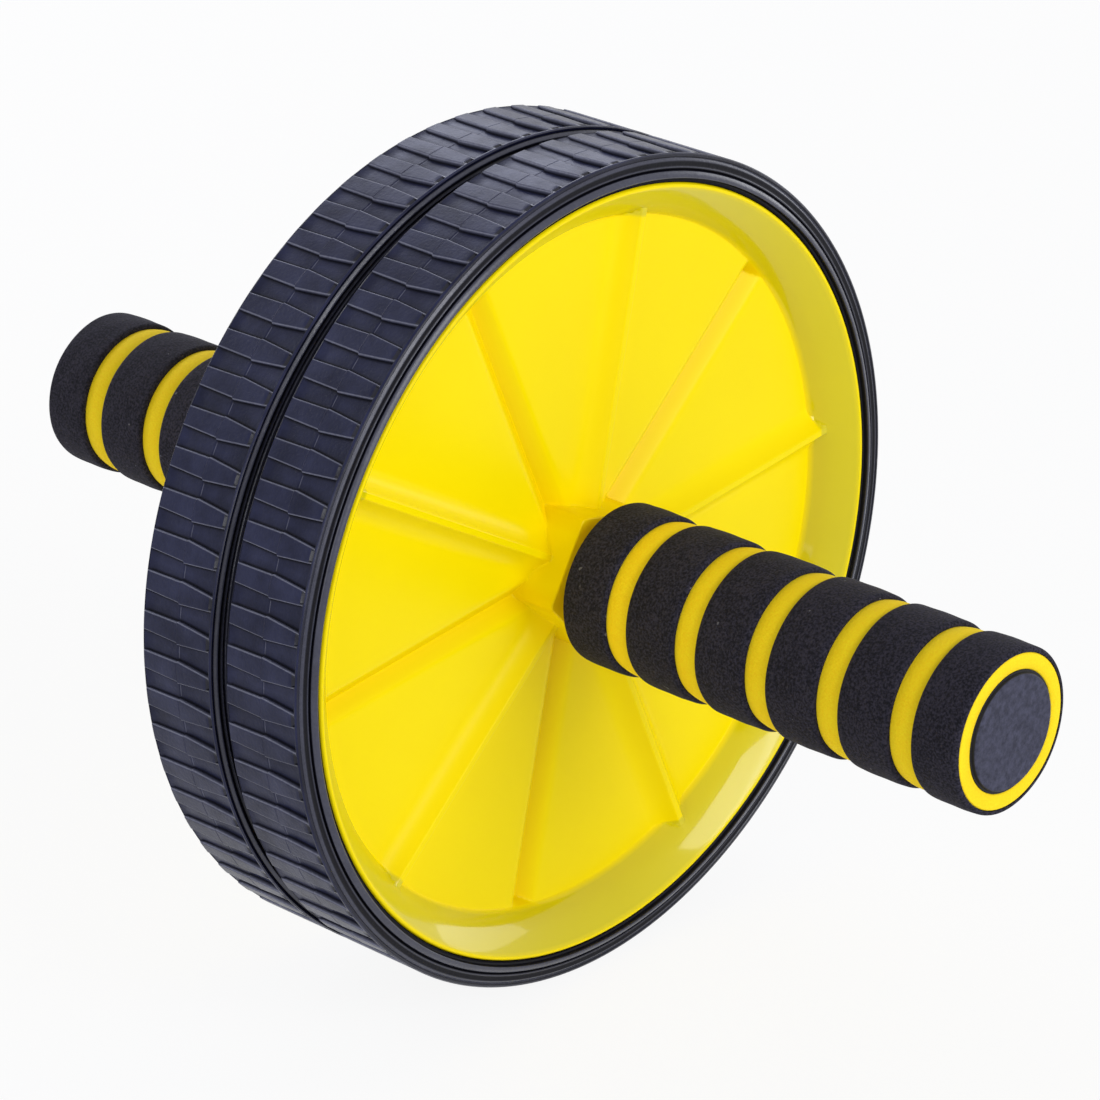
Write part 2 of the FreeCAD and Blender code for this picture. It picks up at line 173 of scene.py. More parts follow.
def bandFoam():
    # closed cell foam: fine pores, uneven charcoal, a few pale specks of lint
    at, finish = newMaterial("bandFoam", Specular_IOR_Level=0.2)
    cloud = at.noise(160.0, 4.0, 0.6)
    pores = at.add("TexVoronoi", {}, {"Vector": at, "Scale": 1700.0}, "Distance")
    fine = at.noise(1900.0, 3.0, 0.6)
    lint = (at.noise(700.0, 0.0) > 0.85) * 0.7
    grain = (cloud * 0.6 + fine * 4.0 - 1.85).clamped()
    base = grain.tint(colour(0.003, 0.003, 0.007), colour(0.034, 0.031, 0.048))
    base = lint.tint(base, colour(0.15, 0.15, 0.18))
    height = pores * 0.6 + fine * 0.4
    return finish(Base_Color=base, Roughness=0.82 + 0.14 * fine, Normal=height.bump(0.35, 0.0003))


def linerFoam():
    # the same foam in yellow, a little smoother where it was cut
    at, finish = newMaterial("linerFoam", Specular_IOR_Level=0.25)
    cloud = at.noise(180.0, 3.0)
    pores = at.add("TexVoronoi", {}, {"Vector": at, "Scale": 1700.0}, "Distance")
    fine = at.noise(2400.0, 2.0)
    grain = (cloud * 0.6 + fine * 1.4 - 0.5).clamped()
    base = grain.tint(colour(0.97, 0.64, 0.003), colour(0.99, 0.78, 0.014))
    height = pores * 0.6 + fine * 0.4
    return finish(Base_Color=base, Roughness=0.74 + 0.16 * fine, Normal=height.bump(0.25, 0.0003))


def capPlastic():
    # matt plug with a mottled bloom; the low step round its rim is painted near black as shade
    at, finish = newMaterial("capPlastic", Specular_IOR_Level=0.3)
    cloud = (at.noise(620.0, 5.0, 0.75) * 4.0 - 1.5).clamped()
    grain = at.noise(1500.0, 2.0)
    base = cloud.tint(colour(0.013, 0.014, 0.032), colour(0.046, 0.048, 0.086))
    # painted shade: the step round the rim near black, as the shadowed gap beside the liner
    base = mark(at, "rim").tint(base, colour(0.002, 0.002, 0.003))
    return finish(Base_Color=base, Roughness=0.5 + 0.2 * grain, Normal=grain.bump(0.2, 0.0003))


def corePlastic():
    # black tube inside the grip, drawn lengthwise
    at, finish = newMaterial("corePlastic", Specular_IOR_Level=0.4)
    drawn = at.add("Mapping", {}, {"Vector": at, "Scale": (900.0, 25.0, 900.0)}).noise(1.0, 2.0)
    base = drawn.tint(colour(0.012, 0.012, 0.014), colour(0.028, 0.028, 0.032))
    return finish(Base_Color=base, Roughness=0.4 + 0.2 * drawn, Normal=drawn.bump(0.1, 0.0002))


def bearingPlastic():
    # waxy pale plastic of the bushes and the spacer
    at, finish = newMaterial("bearingPlastic", Specular_IOR_Level=0.45)
    cloud = at.noise(220.0, 3.0)
    base = cloud.tint(colour(0.70, 0.69, 0.64), colour(0.80, 0.79, 0.75))
    return finish(Base_Color=base, Roughness=0.36 + 0.16 * cloud, Normal=at.noise(1400.0).bump(0.08, 0.0002))


def turnedSteel():
    # bright zinc with fine rings left by turning
    at, finish = newMaterial("turnedSteel", Metallic=1.0)
    rings = at.add("Mapping", {}, {"Vector": at, "Scale": (60.0, 4200.0, 60.0)}).noise(1.0, 2.0)
    cloud = at.noise(90.0, 3.0)
    base = cloud.tint(colour(0.55, 0.56, 0.58), colour(0.68, 0.69, 0.70))
    return finish(Base_Color=base, Roughness=0.22 + 0.2 * rings, Normal=rings.bump(0.12, 0.0002))


finishes = {
    "yellow_plastic": discYellow(),
    "tyre": tyreRubber(),
    "black_foam": bandFoam(),
    "yellow_foam": linerFoam(),
    "cap": capPlastic(),
    "black_plastic": corePlastic(),
    "bearing_plastic": bearingPlastic(),
    "steel": turnedSteel(),
}
print("materials made:", len(finishes))


def layAlong(side, turn, radius, out):
    # polar places of one side's own drawing, laid on the rod: out goes to -Y on the right and to +Y on the left
    sign = sides[side]
    turn, radius, out = np.broadcast_arrays(turn, radius, out)
    return np.stack([radius * np.cos(turn), -sign * out, sign * radius * np.sin(turn)], axis=-1) * mm


def gridPiece(name, points, finish, body, node, marks=None, sharp=35.0, poles=False):
    # points[i, j] is a surface closed both ways: i goes round the rod and j round the section
    count, rows = points.shape[:2]
    index = np.arange(count * rows).reshape(count, rows)
    ahead = np.roll(index, -1, axis=0)
    corners = [index, ahead, np.roll(ahead, -1, axis=1), np.roll(index, -1, axis=1)]
    faces = np.stack(corners, axis=-1).reshape(-1, 4)
    flat = points.reshape(-1, 3)
    # the sum is six times the volume, and is negative where the faces point inwards
    a, b, c, d = (flat[faces[:, corner]] for corner in range(4))
    if np.einsum("ij,ij->", a, np.cross(b, c) + np.cross(c, d)) < 0:
        faces = faces[:, ::-1]
    mesh = bpy.data.meshes.new(name)
    mesh.vertices.add(len(flat))
    mesh.vertices.foreach_set("co", flat.astype(np.float32).ravel())
    mesh.loops.add(faces.size)
    mesh.loops.foreach_set("vertex_index", faces.astype(np.int32).ravel())
    mesh.polygons.add(len(faces))
    mesh.polygons.foreach_set("loop_start", np.arange(0, faces.size, 4, dtype=np.int32))
    mesh.update(calc_edges=True)
    for key, values in (marks or {}).items():
        layer = mesh.attributes.new(key, "FLOAT", "POINT")
        layer.data.foreach_set("value", np.broadcast_to(values, (count, rows)).astype(np.float32).ravel())
    if poles:
        work = bmesh.new()
        work.from_mesh(mesh)
        bmesh.ops.remove_doubles(work, verts=work.verts, dist=1e-7)
        work.to_mesh(mesh)
        work.free()
    mesh.shade_smooth()
    mesh.set_sharp_from_angle(angle=math.radians(sharp))
    mesh.materials.append(finishes[finish])
    piece = bpy.data.objects.new(name, mesh)
    bpy.context.scene.collection.objects.link(piece)
    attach(piece, body)
    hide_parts(node)
    return piece


def between(start, end, share):
    return start + (end - start) * share


def softMax(first, second, blend):
    # the larger of two, rounded over by blend
    return (first + second + np.sqrt((first - second) ** 2 + blend ** 2)) / 2


def ringTurns(count):
    return np.linspace(0, 2 * math.pi, count, endpoint=False)[:, None]


# tyre

tyreSet = {
    "blocks": 66,
    "radius": 89.98,
    "phase": 5.3,
    "tread": {"right": (3.3, 22.6), "left": (1.4, 20.5)},
    # places round the tread, in mm, of the two walls of a pocket, from its +Y end to its -Y end
    "across": (0.0, 0.488, 0.502, 1.0),
    "wallBack": (-2.5, -2.3, -2.0, -3.1),
    "wallAhead": (2.0, 1.8, 1.65, 2.5),
    # how deep a pocket is from its +Y end to its -Y end
    "pocketAt": (0.0, 0.06, 0.482, 0.502, 0.65, 0.97, 0.976, 1.0),
    "pocketDeep": (0.3, 0.65, 0.72, 0.82, 0.98, 0.98, 0.0, 0.0),
    # columns, in mm from a pocket's walls and from a block's edges, and how far each edge column drops
    "panelCols": (0.1, 0.35, 0.7),
    "edgeCols": (0.0, 0.05, 0.13, 0.3, 0.5, 0.6),
    "edgeDrop": (0.28, 0.135, 0.055, 0.0, 0.0, 0.0),
    # edges drop in full beside a pocket of this depth
    "fullDeep": 0.5,
    # rows of the slit across a block, the step in a pocket and the crease at a block's end
    "slitRow": 0.488,
    "stepRow": 0.502,
    "creaseRow": 0.976,
    # a slit is cut where the block's edge drops less than slitUnder
    "slit": 0.14,
    "slitUnder": 0.2,
    # small ramps that fall towards the -Y end of each block, on the columns nearest its middle
    "notchAt": (0.0, 0.928, 0.935, 0.96, 0.976, 0.984, 1.0),
    "notchDeep": (0.0, 0.0, 0.06, 0.42, 0.65, 0.0, 0.0),
    "middleCols": 2,
    # the tread's first and last rows lie lower
    "endRows": (0.004, 0.997),
    "endDrop": 0.12,
    "treadRows": (0, 0.006, 0.015, 0.06, 0.15, 0.3, 0.42, 0.474, 0.482, 0.488, 0.494, 0.502, 0.51, 0.56, 0.65, 0.76,
                  0.88, 0.928, 0.935, 0.96, 0.97, 0.976, 0.984, 0.99, 1.0),
    # radius and distance from the middle of each side wall's rows
    "gapSide": {
        "right": ((84.0, 0.9), (86.0, 0.9), (87.2, 1.05), (88.0, 1.6), (88.7, 2.4), (89.3, 2.95), (89.75, 3.2)),
        "left": ((84.0, 1.2), (85.2, 0.75), (85.6, 0.62), (86.2, 0.75), (86.5, 1.4), (86.75, 1.25), (87.0, 0.78),
                 (87.2, 0.75), (87.6, 1.0), (88.2, 0.8), (88.42, 0.82), (88.66, 1.0), (88.95, 1.24), (89.1, 1.36),
                 (89.4, 1.2), (89.75, 1.22)),
    },
    "outSide": {
        "right": ((89.75, 22.78), (89.4, 22.9), (89.15, 22.78), (88.98, 22.62), (88.78, 22.74), (88.5, 22.98),
                  (88.2, 23.04), (87.8, 22.92), (87.4, 22.96), (87.12, 23.12), (86.86, 23.05), (86.7, 22.7),
                  (86.5, 22.6), (86.42, 22.9)),
        "left": ((89.75, 20.62), (89.3, 20.95), (88.7, 21.4), (88.44, 21.74), (88.28, 21.84), (87.8, 22.02),
                 (87.35, 22.42), (87.08, 22.76), (86.93, 22.76), (86.86, 22.3), (86.52, 22.2), (86.42, 22.6)),
    },
    "beadRows": ((86.42, 23.1), (86.36, 23.34), (86.2, 23.5), (85.85, 23.76), (85.5, 23.94), (85.2, 24.0),
                 (85.0, 23.88), (84.92, 23.45), (84.76, 22.9), (84.4, 22.72), (84.1, 22.8), (84.0, 23.0)),
    "seatRows": ((84.0, 16.0), (84.0, 8.0)),
    # painted shade at the feet by pocket column, paler edges (scuffs and painted highlight) by block column, then
    # single rows and the side walls' ridges
    "footDark": (1.0, 0.75, 0.2, 0.0, 0.3, 0.85, 1.0),
    "edgePale": (0.42, 0.7, 0.42, 0.0, 0.0, 0.0),
    "creaseDark": 0.9,
    "slitPale": 0.22,
    "slitCols": 5,
    "stepPale": 0.35,
    "ridgePale": 0.12,
    "ridges": ((88.35, 89.0), (86.98, 87.22), (84.95, 86.38)),
    "sideDark": 0.95,
    "sideBelow": 89.3,
    "smoothRows": (0.93, 0.98),
}


def makeTyre(side):
    # A closed section carried round the rod. Its columns follow the walls of the tread's pockets, so walls are crisp.
    # Radius: the section's own, less the pocket's depth between its walls, less rounded edges, slits and notches.
    s = tyreSet
    tread = np.array(s["treadRows"])
    treadFrom, treadTo = s["tread"][side]
    if side == "left":
        tread = tread[::-1]
    treadOut = between(treadFrom, treadTo, tread if side == "right" else 1 - tread)
    treadRows = np.stack([np.full(len(tread), s["radius"]), treadOut], axis=-1)
    gapRows, outRows = np.array(s["gapSide"][side]), np.array(s["outSide"][side])
    section = np.concatenate([gapRows, treadRows, outRows, s["beadRows"], s["seatRows"]])
    nearEnd, farEnd = (0.0, 1.0) if side == "right" else (1.0, 0.0)
    after = len(section) - len(gapRows) - len(tread)
    across = np.concatenate([np.full(len(gapRows), nearEnd), tread, np.full(after, farEnd)])
    onTread = np.zeros(len(section), bool)
    onTread[len(gapRows):len(gapRows) + len(tread)] = True

    # columns of one pitch: the pocket from its back wall to its wall ahead, then the block up to the next pocket
    back = np.interp(across, s["across"], s["wallBack"])
    ahead = np.interp(across, s["across"], s["wallAhead"])
    pitch = 2 * math.pi * s["radius"] / s["blocks"]
    inset, edge = np.array(s["panelCols"])[:, None], np.array(s["edgeCols"])[:, None]
    middle = ((back + ahead) / 2)[None, :]
    top = ((ahead + back + pitch) / 2)[None, :]
    pocketTurn = np.concatenate([back + inset, middle, ahead - inset[::-1]])
    blockTurn = np.concatenate([ahead + edge, top, back + pitch - edge[::-1]])
    onePitch = (np.concatenate([pocketTurn, blockTurn]) + s["phase"]) / s["radius"]
    starts = np.arange(s["blocks"]) * (2 * math.pi / s["blocks"])
    turn = (starts[:, None, None] + onePitch).reshape(-1, len(section)) * sides[side]
    fromMiddle = np.abs(np.arange(len(pocketTurn)) - len(pocketTurn) // 2)[:, None]
    fromTop = np.abs(np.arange(len(blockTurn)) - len(blockTurn) // 2)[:, None]

    deep = np.interp(across, s["pocketAt"], s["pocketDeep"]) * onTread
    sunkShare = np.clip(deep / s["fullDeep"], 0, 1)
    edgeDrop = np.array(s["edgeDrop"])[:, None]
    drop = np.concatenate([edgeDrop, [[0.0]], edgeDrop[::-1]]) * sunkShare
    onSlit = onTread & (across == s["slitRow"])
    drop = drop + s["slit"] * onSlit * (drop < s["slitUnder"])
    notch = np.interp(across, s["notchAt"], s["notchDeep"]) * onTread
    drop = drop + notch * (fromTop < s["middleCols"])
    firstRow, lastRow = s["endRows"]
    atEnd = onTread & ((across < firstRow) | (across > lastRow))
    lower = np.concatenate([np.repeat(deep[None, :], len(pocketTurn), axis=0), drop]) + s["endDrop"] * atEnd
    radius = np.tile(section[:, 0] - lower, (s["blocks"], 1))

    # painted shade at the feet of the walls, in the creases and in the side walls' hollows; paler edges, partly
    # scuffs and partly painted highlight; smoother side walls
    small = section[:, 0]
    ridge = np.any([(small > low) & (small < high) for low, high in s["ridges"]], axis=0)
    shadePocket = np.array(s["footDark"])[:, None] * sunkShare * onTread
    shadeBlock = s["creaseDark"] * (onTread & (across == s["creaseRow"])) * (fromTop < s["middleCols"])
    hollow = ~ridge & ~onTread & (small < s["sideBelow"])
    # painted shade: dark feet of the pocket walls, dark crease rows and the side walls' hollows
    paintedShade = np.concatenate([shadePocket, shadeBlock]) + s["sideDark"] * hollow
    # paler edges, slits, steps and ridges: scuffs and painted highlight
    edgePale = np.array(s["edgePale"])[:, None]
    edgeBlock = np.concatenate([edgePale, [[0.0]], edgePale[::-1]]) * sunkShare
    edgeBlock = np.maximum(edgeBlock, s["slitPale"] * onSlit * (fromTop < s["slitCols"]))
    edgePocket = s["stepPale"] * (onTread & (across == s["stepRow"])) * (fromMiddle < s["middleCols"])
    scuffAndHighlight = np.concatenate([edgePocket, edgeBlock]) + s["ridgePale"] * (ridge & ~onTread)
    smoothFrom, smoothTo = s["smoothRows"]
    marks = {
        "paintedShade": np.tile(np.clip(paintedShade, 0, 1), (s["blocks"], 1)),
        "edge": np.tile(scuffAndHighlight, (s["blocks"], 1)),
        "smooth": 1.0 * (~onTread | ((across > smoothFrom) & (across < smoothTo))),
    }
    points = layAlong(side, turn, radius, section[:, 1])
    return gridPiece(side + "Tyre", points, "tyre", side + "_wheel", side + "_tyre", marks)


# wheel disc

discSet = {
    "bore": 8.1,
    "hubEnd": 23.0,
    "hubRadius": 11.0,
    "apothem": 13.5,
    "cornerCut": 0.35,
    "spokes": 5,
    "phase": 5.5,
    # inside this radius the columns keep their angle
    "fanRadius": 17.2,
    "floorRadius": 75.45,
    "floor": 14.6,
    "webRise": 0.2,
    "webThick": 5.5,
    "dishRun": 7.6,
    "dishDeep": 8.8,
    # the dish wall, as shares of its run and depth: a steep foot that bends into a nearly straight slope
    "wallBend": 0.4,
    "footSlope": 1.9,
    "footBend": 1.275,
    "wallSlope": 0.88,
    "wallCurve": 0.2333,
    "wallRound": 0.25,
    "wallEnd": 82.8,
    "ribTop": 0.7,
    "ribHalf": 5.2,
    "ribHigh": 3.8,
    "ribPower": 1.8,
    "grooveHalf": 3.3,
    "grooveDeep": 3.0,
    "grooveSoft": 0.05,
    "grooveRound": 0.5,
    # columns, in mm from a rib's line and from a groove's line
    "ribCols": (0, 0.4, 0.62, 0.76, 0.95, 1.3, 1.8, 2.5, 3.3, 4.2, 5.2, 5.9),
    "grooveCols": (0, 0.2, 0.6, 1.6, 2.4, 2.9, 3.3, 3.8, 4.4),
    "openCols": 12,
    # rows of the boss: shares across its top, rounded edge (in from the side, down), side (out, share of its height)
    "topInset": 0.5,
    "topEdge": 0.7,
    "topShares": (0.0, 0.3, 0.65, 1.0),
    "bossEdge": ((0.3, 0.05), (0.08, 0.22)),
    "bossUnder": 0.3,
    "bossSide": ((0.0, 0.93), (0.0, 0.7), (0.0, 0.45), (0.01, 0.2), (0.05, 0.06), (0.16, 0.015), (0.5, 0.0)),
    # rows of the web, closer together near the boss, and then by their distance from the foot of the dish wall
    "webRows": 18,
    "webPower": 1.2,
    "webFrom": 1.1,
    "webTo": 3.2,
    "footRows": (2.6, 2.1, 1.6, 1.2, 0.85, 0.55, 0.3, 0.1),
    "footGap": 0.02,
    "dishRows": 12,
    "rimRows": ((82.98, 23.33), (83.16, 23.39), (83.3, 23.39), (83.45, 23.33), (83.59, 23.22), (83.71, 23.06),
                (83.81, 22.86), (83.88, 22.62), (83.93, 22.32), (83.95, 22.0), (83.95, 12.0), (83.95, 2.0),
                (83.85, 1.6), (83.6, 1.5), (80.8, 1.5), (80.55, 1.6), (80.45, 1.9), (80.45, 5.5), (80.45, 8.4),
                (80.3, 8.9)),
    "rimBore": 80.45,
    "backRows": 7,
    "backFrom": 79.6,
    "backTo": 11.9,
    "hubRows": ((11.4, 9.25), (11.08, 9.0), (11.0, 8.5), (11.0, 7.0), (11.0, 3.3), (10.9, 3.08), (10.6, 3.0),
                (8.6, 3.0), (8.3, 3.05), (8.1, 3.3), (8.1, 9.0), (8.1, 16.0), (8.1, 22.7), (8.25, 22.95)),
    # painted shade: how much of the deeper colour a groove takes, and how fast the polish and the wall's painted
    # shade come and go on the wall
    "grooveShadeTint": 0.6,
    "grooveShadeGain": 1.5,
    "frontDepth": 4.0,
    "polishShadeIn": 0.3,
    "polishShadeOut": 0.4,
    "sharp": 28.0,
}


def makeDisc(side):
    # A closed section carried round the rod. Columns keep their distance from the nearest rib or groove line.
    # Front height: flat web, plus a fin with hollow flanks at each rib, less a vee at each groove, or the dish wall.
    s = discSet
    half = math.pi / s["spokes"]
    ribCols, grooveCols = np.array(s["ribCols"]), np.array(s["grooveCols"])[::-1]
    openShare = np.linspace(0, 1, s["openCols"] + 2)[1:-1]
    fromRib = np.concatenate([ribCols, np.full(len(openShare) + len(grooveCols), ribCols[-1])])[:, None]
    fromGroove = np.concatenate([np.full(len(ribCols) + len(openShare), grooveCols[0]), grooveCols])[:, None]
    share = np.concatenate([ribCols * 0, openShare, grooveCols * 0 + 1])[:, None]

    def offsets(radius):
        # angle of each column from a rib's line, out to the groove's line, at that column's own radii
        wide = np.maximum(radius, s["fanRadius"])
        return between(np.arcsin(fromRib / wide), half - np.arcsin(fromGroove / wide), share)

    bossRadius = s["apothem"] / np.cos(offsets(np.full_like(share, s["fanRadius"])))
    bossRadius = np.minimum(bossRadius, s["apothem"] / math.cos(half) - s["cornerCut"])

    def front(radius):
        turn = offsets(radius)
        web = s["floor"] + (s["floorRadius"] - radius) * s["webRise"] / (s["floorRadius"] - s["hubRadius"])
        beside = np.maximum(np.abs(radius * np.sin(turn)) - s["ribTop"], 0)
        ribShare = np.clip(1 - beside / (s["ribHalf"] - s["ribTop"]), 0, 1)
        fromLine = np.sqrt((radius * np.sin(half - turn)) ** 2 + s["grooveSoft"])
        grooveShare = 1 - fromLine / s["grooveHalf"]
        raised = web + s["ribHigh"] * ribShare ** s["ribPower"]
        sunk = softMax(s["grooveDeep"] * grooveShare, 0.0, s["grooveRound"])
        climb = (radius - s["floorRadius"]) / s["dishRun"]
        foot = np.minimum(climb, s["wallBend"])
        rest = np.maximum(climb - s["wallBend"], 0)
        rise = foot * (s["footSlope"] - s["footBend"] * foot) + rest * (s["wallSlope"] - s["wallCurve"] * rest)
        wall = s["floor"] + s["dishDeep"] * rise
        return softMax(raised - sunk, wall, s["wallRound"])

    # radius and distance from the middle of every row, once round the section
    top = s["hubEnd"]
    rows = []
    for reach in s["topShares"]:
        rows.append((between(s["bore"] + s["topInset"], bossRadius - s["topEdge"], reach), top))
    for inset, down in s["bossEdge"]:
        rows.append((bossRadius - inset, top - down))
    for reach, rise in s["bossSide"]:
        foot = front(bossRadius + reach)
        rows.append((bossRadius + reach, between(foot, top - s["bossUnder"], rise)))
    for reach in np.linspace(0, 1, s["webRows"]) ** s["webPower"]:
        radius = between(bossRadius + s["webFrom"], s["floorRadius"] - s["webTo"], reach)
        rows.append((radius, front(radius)))
    for short in s["footRows"]:
        radius = np.full_like(bossRadius, s["floorRadius"] - short)
        rows.append((radius, front(radius)))
    for reach in np.linspace(0, 1, s["dishRows"]):
        radius = np.full_like(bossRadius, between(s["floorRadius"] + s["footGap"], s["wallEnd"], reach))
        rows.append((radius, front(radius)))
    rows.extend(s["rimRows"])
    slope = s["webRise"] / (s["rimBore"] - s["hubRadius"])
    for reach in np.linspace(0, 1, s["backRows"]):
        radius = between(s["backFrom"], s["backTo"], reach)
        rows.append((radius, s["floor"] - s["webThick"] + (s["rimBore"] - radius) * slope))
    rows.extend(s["hubRows"])
    radius = np.concatenate([np.broadcast_to(r, bossRadius.shape) for r, o in rows], axis=1)
    out = np.concatenate([np.broadcast_to(o, bossRadius.shape) for r, o in rows], axis=1)

    # the other half of each fifth is the mirror of this one
    turn = offsets(radius)
    turn = np.concatenate([turn, 2 * half - turn[-2:0:-1]])
    radius = np.concatenate([radius, radius[-2:0:-1]])
    out = np.concatenate([out, out[-2:0:-1]])
    starts = math.radians(s["phase"]) + np.arange(s["spokes"]) * 2 * half
    turn = (starts[:, None, None] + turn).reshape(-1, radius.shape[1])
    radius = np.tile(radius, (s["spokes"], 1))
    out = np.tile(out, (s["spokes"], 1))

    # painted shade: a deeper colour down in the grooves; polish, with painted shade, on the wall between its foot and
    # the rim
    nearest = np.abs((turn - starts[0]) % (2 * half) - half)
    groove = np.clip(s["grooveShadeGain"] * (1 - radius * np.sin(nearest) / s["grooveHalf"]), 0, 1)
    onFront = (radius < s["floorRadius"]) & (out > s["floor"] - s["frontDepth"])
    fromFloor = radius - s["floorRadius"]
    comes = np.clip(fromFloor / s["polishShadeIn"], 0, 1)
    goes = np.clip((s["dishRun"] - fromFloor) / s["polishShadeOut"], 0, 1)
    # the wall's mask carries both its gloss and its painted shade; the grooves' mask carries their painted shade
    marks = {"polishAndShade": comes * goes * (out > s["floor"]), "sunk": s["grooveShadeTint"] * groove * onFront}
    points = layAlong(side, turn, radius, out)
    return gridPiece(side + "Disc", points, "yellow_plastic", side + "_wheel", side + "_wheel_disc",
                     marks, s["sharp"])


# foam grip

gripSet = {
    "cols": 144,
    "start": 26.5,
    "end": 128.75,
    "bands": ((26.5, 37.9), (43.55, 56.35), (62.0, 74.8), (80.45, 93.25), (98.9, 111.7), (117.35, 128.75)),
    "bandBore": 16.25,
    "bandRadius": 17.5,
    "bandRound": 0.9,
    "boreInset": 0.05,
    "crown": 0.12,
    # soft waves round a band: height, how many there are of each, and the turn from one band to the next
    "waveHigh": 0.03,
    "waves": (3, 7),
    "waveShift": 2.1,
    "waveFrom": 16.9,
    "bandFill": 0.95,
    "linerRadius": 16.2,
    "linerBulge": 0.45,
    "linerRound": 0.55,
    # radius and depth of the rows from the face of an end into the bore
    "mouth": ((14.5, 0.0), (13.0, 0.02), (12.75, 0.3)),
    "gapRows": 9,
    "linerFill": 0.9,
    "sharp": 50.0,
}


def roundedEdges(radius, size, start, end, count):
    # quarter circles at both ends of a sleeve: up from its start, and down to its end
    bend = np.linspace(0, math.pi / 2, count)
    rise, fall = size * np.sin(bend), size * np.cos(bend)
    nearEdge = np.stack([radius - size + rise, start + size - fall], axis=-1)
    farEdge = np.stack([radius - size + fall, end - size + rise], axis=-1)
    return nearEdge, farEdge


def makeLiner(side):
    # Tube whose outer wall swells a little between the bands: a low parabola over each gap.
    s = gripSet
    share = np.linspace(0, 1, s["gapRows"])
    swell = s["linerRadius"] + s["linerBulge"] * (1 - (2 * share - 1) ** 2)
    gaps = [np.stack([swell, between(band[1], following[0], share)], axis=-1)
            for band, following in zip(s["bands"][:-1], s["bands"][1:])]
    nearEdge, farEdge = roundedEdges(s["linerRadius"], s["linerRound"], s["start"], s["end"], 6)
    mouth = np.array(s["mouth"])
    farMouth = np.stack([mouth[:, 0], s["end"] - mouth[:, 1]], axis=-1)
    nearMouth = np.stack([mouth[:, 0], s["start"] + mouth[:, 1]], axis=-1)[::-1]
    section = np.concatenate([nearEdge] + gaps + [farEdge, farMouth, nearMouth])
    points = layAlong(side, ringTurns(s["cols"]), section[:, 0], section[:, 1])
    piece = gridPiece(side + "Liner", points, "yellow_foam", "axle_and_handles", side + "_grip_liner",
                      sharp=s["sharp"])
    return piece


def makeBand(side, number):
    # Ring with rounded edges and a crown: its wall drops by crown towards both edges, with soft waves round it.
    s = gripSet
    start, end = s["bands"][number]
    size = s["bandRound"]
    crest = s["bandRadius"] - s["crown"]
    share = np.linspace(0, 1, 13)[1:-1]
    crowned = crest + s["crown"] * (1 - (2 * share - 1) ** 2)
    wall = np.stack([crowned, between(start + size, end - size, share)], axis=-1)
    nearEdge, farEdge = roundedEdges(crest, size, start, end, 7)
    bore = np.array([(s["bandBore"], end - s["boreInset"]), (s["bandBore"], start + s["boreInset"])])
    section = np.concatenate([nearEdge, wall, farEdge, bore])
    turn = ringTurns(s["cols"])
    few, many = s["waves"]
    waves = np.sin(few * turn + number) + np.sin(many * turn + s["waveShift"] * number + section[:, 1]) - 2
    radius = section[:, 0] + s["waveHigh"] * waves * (section[:, 0] > s["waveFrom"])
    points = layAlong(side, turn, radius, section[:, 1])
    piece = gridPiece("%sBand%d" % (side, number + 1), points, "black_foam", "axle_and_handles",
                      "%s_grip_band_%d" % (side, number + 1), sharp=s["sharp"])
    return piece


# end cap

capSet = {
    "cols": 120,
    "section": ((0.0, 129.27), (4.0, 129.28), (8.0, 129.3), (10.6, 129.32), (11.3, 129.35), (11.75, 129.34),
                (11.98, 129.26), (12.1, 129.08), (12.14, 128.8), (12.2, 128.66), (12.6, 128.66), (12.7, 128.6),
                (12.7, 128.15), (9.45, 128.15), (9.45, 122.3), (9.3, 122.15), (8.1, 122.15), (7.95, 122.3),
                (7.95, 128.15), (0.0, 128.15)),
    "rimFrom": 12.05,
    "sharp": 40.0,
}


def makeCap(side):
    # Turned plug with a slightly dished face and a low step round it; the first and last rows meet on the rod's line.
    s = capSet
    section = np.array(s["section"])
    points = layAlong(side, ringTurns(s["cols"]), section[:, 0], section[:, 1])
    # painted shade on the low step round the rim
    marks = {"rim": 1.0 * (section[:, 0] > s["rimFrom"])}
    return gridPiece(side + "Cap", points, "cap", "axle_and_handles", side + "_end_cap", marks,
                     s["sharp"], poles=True)


for side in sides:
    makeTyre(side)
    makeDisc(side)
    makeLiner(side)
    for number in range(len(gripSet["bands"])):
        makeBand(side, number)
    makeCap(side)
print("pieces made")

for entry in frame["record"]["subparts"]:
    node = frame["nodes"][entry["node"]]
    if not node.hide_render:
        for holder in node.material_slots:
            holder.material = finishes[entry["material_slot"]]
print("frame nodes finished")


# floor, light and camera

stageSet = {
    "floorAt": -0.09,
    "floorHalf": 4.0,
    "floorShade": 0.86,
    "floorPatch": 0.02,
    "floorWhite": 0.9,
    "skyLevel": 0.33,
    # name, place, width, height, watts, colour; all of them aim at the middle of the rod
    "lamps": (
        ("frontLamp", (0.1, -1.6, 0.92), 0.88, 0.72, 11.5, (0.96, 0.97, 1.0)),
        ("fillLamp", (0.0, -1.8, 0.38), 1.3, 0.9, 9.2, (0.97, 0.98, 1.0)),
        ("sideLamp", (1.85, -0.25, 0.3), 0.8, 0.8, 4.0, (0.95, 0.97, 1.0)),
        ("backLamp", (0.95, 1.25, 1.0), 1.3, 0.8, 9.0, (0.76, 0.80, 1.0)),
        ("rearLamp", (-0.15, 1.75, 0.5), 1.0, 0.8, 13.0, (0.95, 0.97, 1.0)),
        ("leftLamp", (-1.7, -0.5, 0.45), 0.9, 0.9, 6.4, (0.96, 0.97, 1.0)),
    ),
}


def seenRays(rays):
    # 1 where the camera sees a surface, straight, mirrored or through another
    return (rays + rays.other("Is Glossy Ray") + rays.other("Is Transmission Ray")).clamped()


